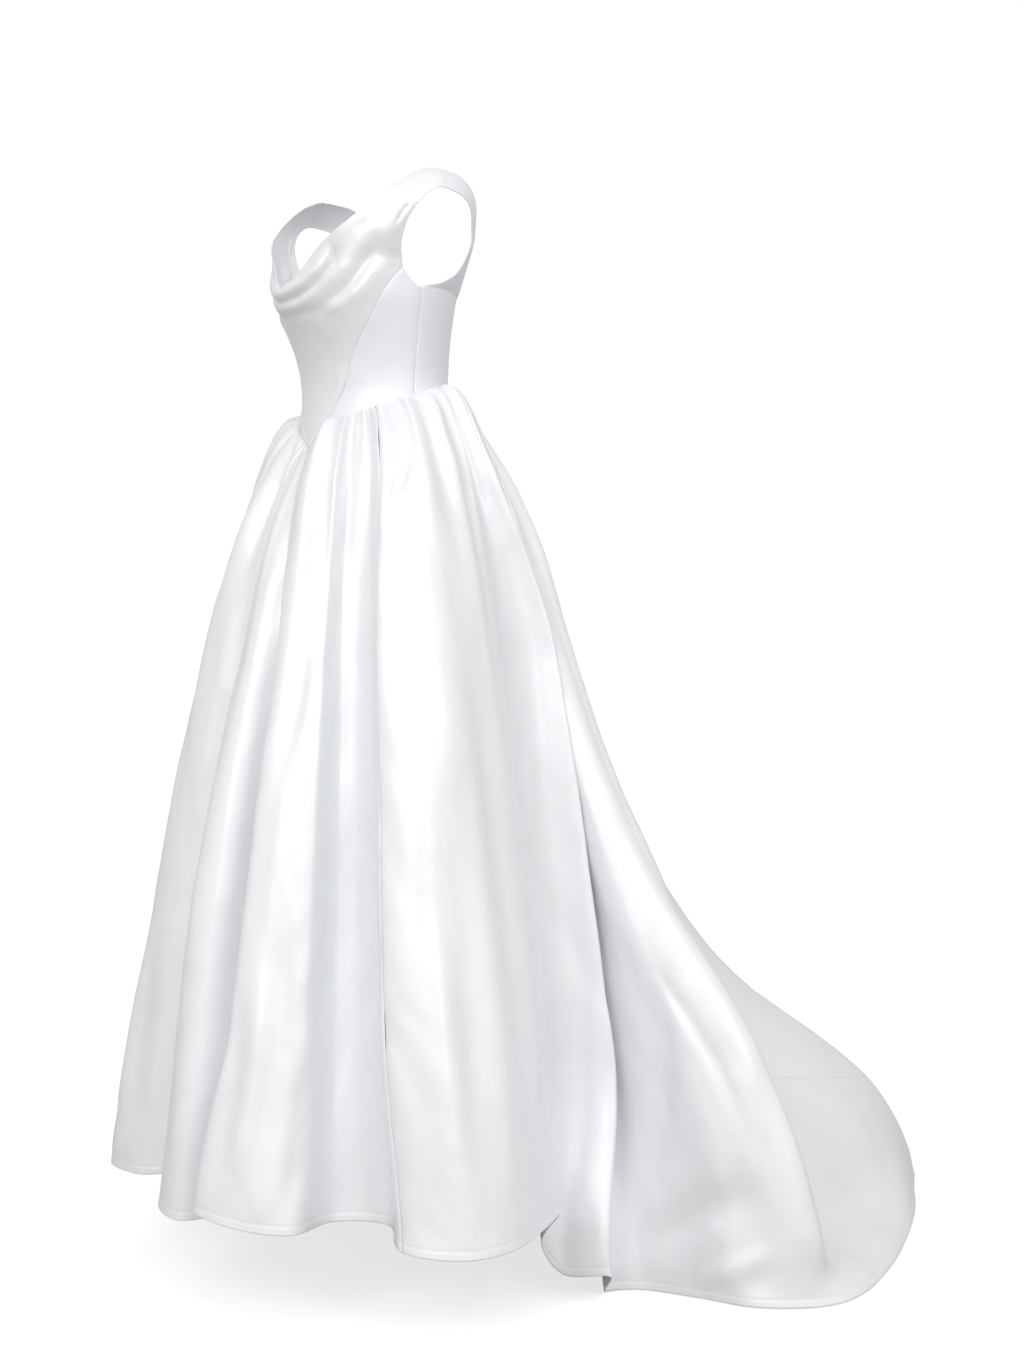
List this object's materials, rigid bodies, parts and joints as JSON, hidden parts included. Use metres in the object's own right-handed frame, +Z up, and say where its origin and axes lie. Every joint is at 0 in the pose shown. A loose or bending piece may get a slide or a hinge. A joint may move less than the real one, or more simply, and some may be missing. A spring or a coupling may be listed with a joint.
{
  "type": "wedding dress",
  "caption": "Floor-length satin wedding dress with a cowl neckline, wide sleeveless straps, a pointed waist seam, a gathered skirt and a chapel train.",
  "frame": {"origin": "midway between the two shoulder seams, at their height at the neck edge, where the wearer's shoulders carry the dress", "axes": "+Z up, the dress faces -Y, the wearer's left is +X and the train runs out along +Y"},
  "size_m": [1.1273, 1.3671, 1.5409],
  "materials": {
    "satin": "satin",
    "satin_side": "satin",
    "placket": "matt woven"
  },
  "bodies": {
    "root": {"front_panel": "satin", "side_front_left": "satin_side", "side_front_right": "satin_side", "back_left": "satin_side", "back_right": "satin_side", "back_placket": "placket", "skirt_front": "satin", "skirt_back_left": "satin", "skirt_back_right": "satin"}
  },
  "joints": []
}
